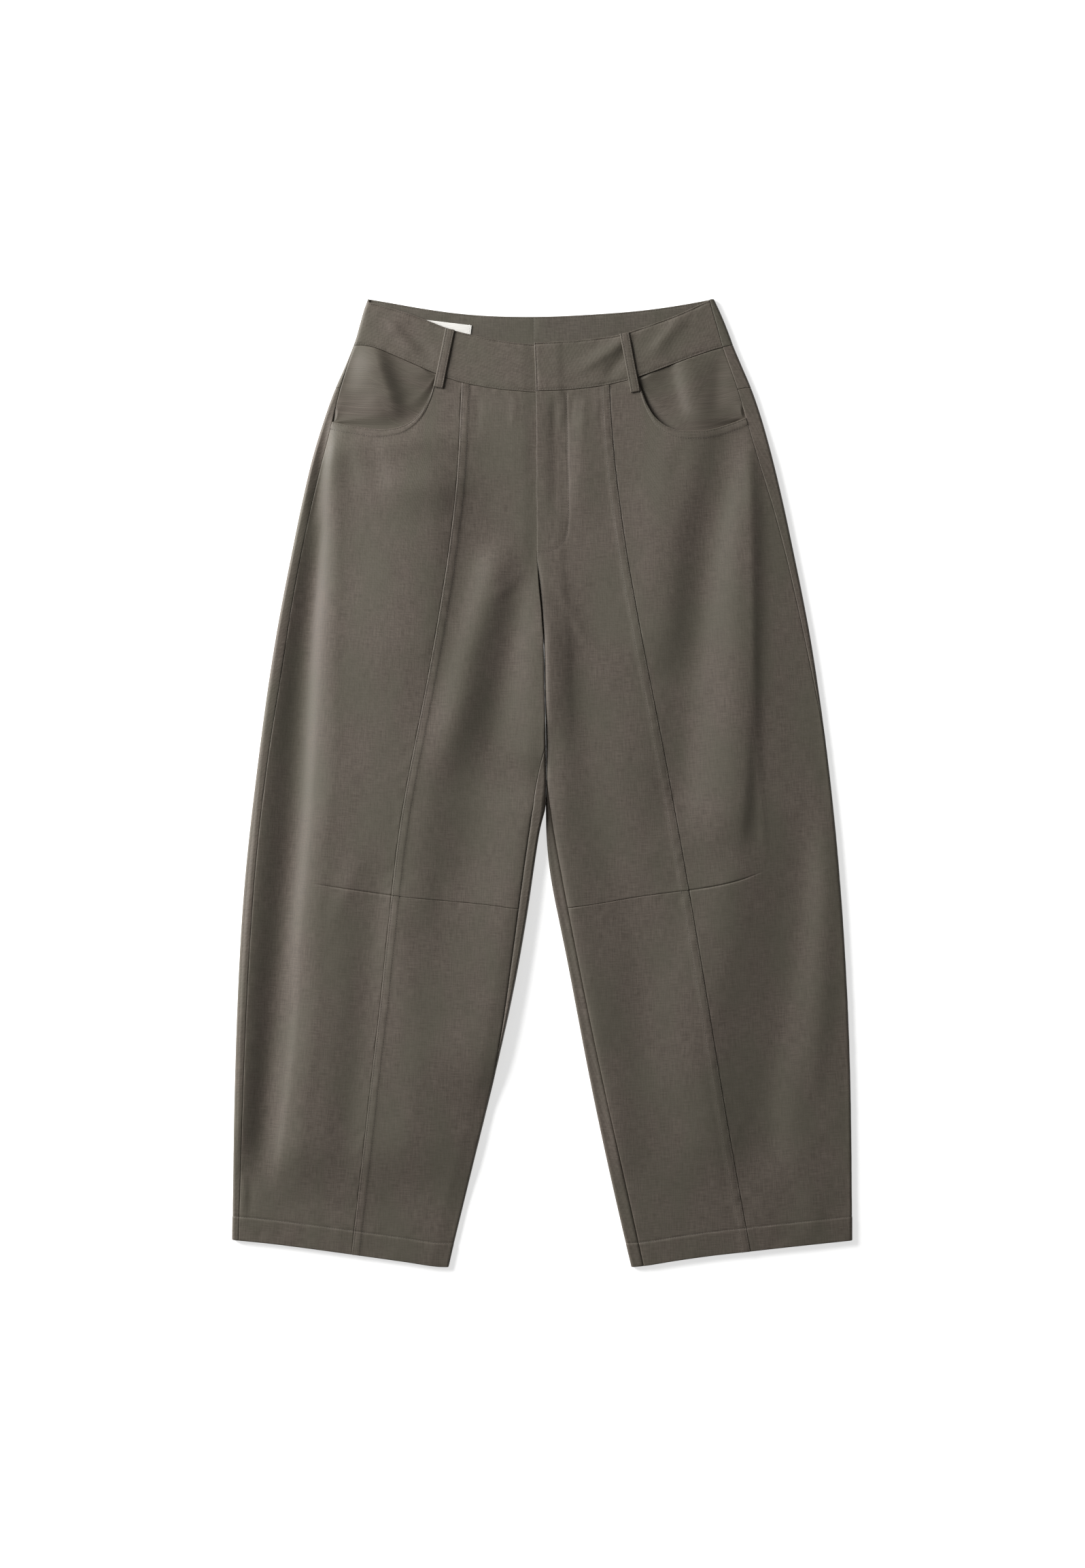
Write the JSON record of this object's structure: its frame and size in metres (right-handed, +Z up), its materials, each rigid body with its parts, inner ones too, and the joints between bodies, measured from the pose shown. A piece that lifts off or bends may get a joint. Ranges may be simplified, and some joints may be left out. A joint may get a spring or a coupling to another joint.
{
  "type": "barrel leg trousers",
  "caption": "High-waisted trousers with curved barrel legs, panel and knee seams, scoop pockets and belt loops, laid flat front up.",
  "frame": {"origin": "on the surface the trousers lie on, under the middle of their outline", "axes": "+X towards the wearer's left, +Y towards the waist, +Z up out of the front"},
  "size_m": [0.6751, 1.0544, 0.0148],
  "materials": {
    "suiting": "woven wool-blend suiting, matt with a slight sheen, warm grey-brown",
    "suiting_inside": "the same suiting on the inside of the waistband",
    "label": "smooth woven satin tape, off-white, blank"
  },
  "bodies": {
    "root": {"front_waistband_right": "suiting", "front_waistband_left": "suiting", "back_waistband_right": "suiting_inside", "back_waistband_left": "suiting_inside", "back_yoke_right": "suiting", "back_yoke_left": "suiting", "back_leg_right": "suiting", "back_leg_left": "suiting", "front_side_right": "suiting", "front_side_left": "suiting", "front_center_upper_right": "suiting", "front_center_upper_left": "suiting", "front_center_lower_right": "suiting", "front_center_lower_left": "suiting", "pocket_facing_right": "suiting", "pocket_facing_left": "suiting", "belt_loop_right": "suiting", "belt_loop_left": "suiting", "label": "label"}
  },
  "joints": []
}
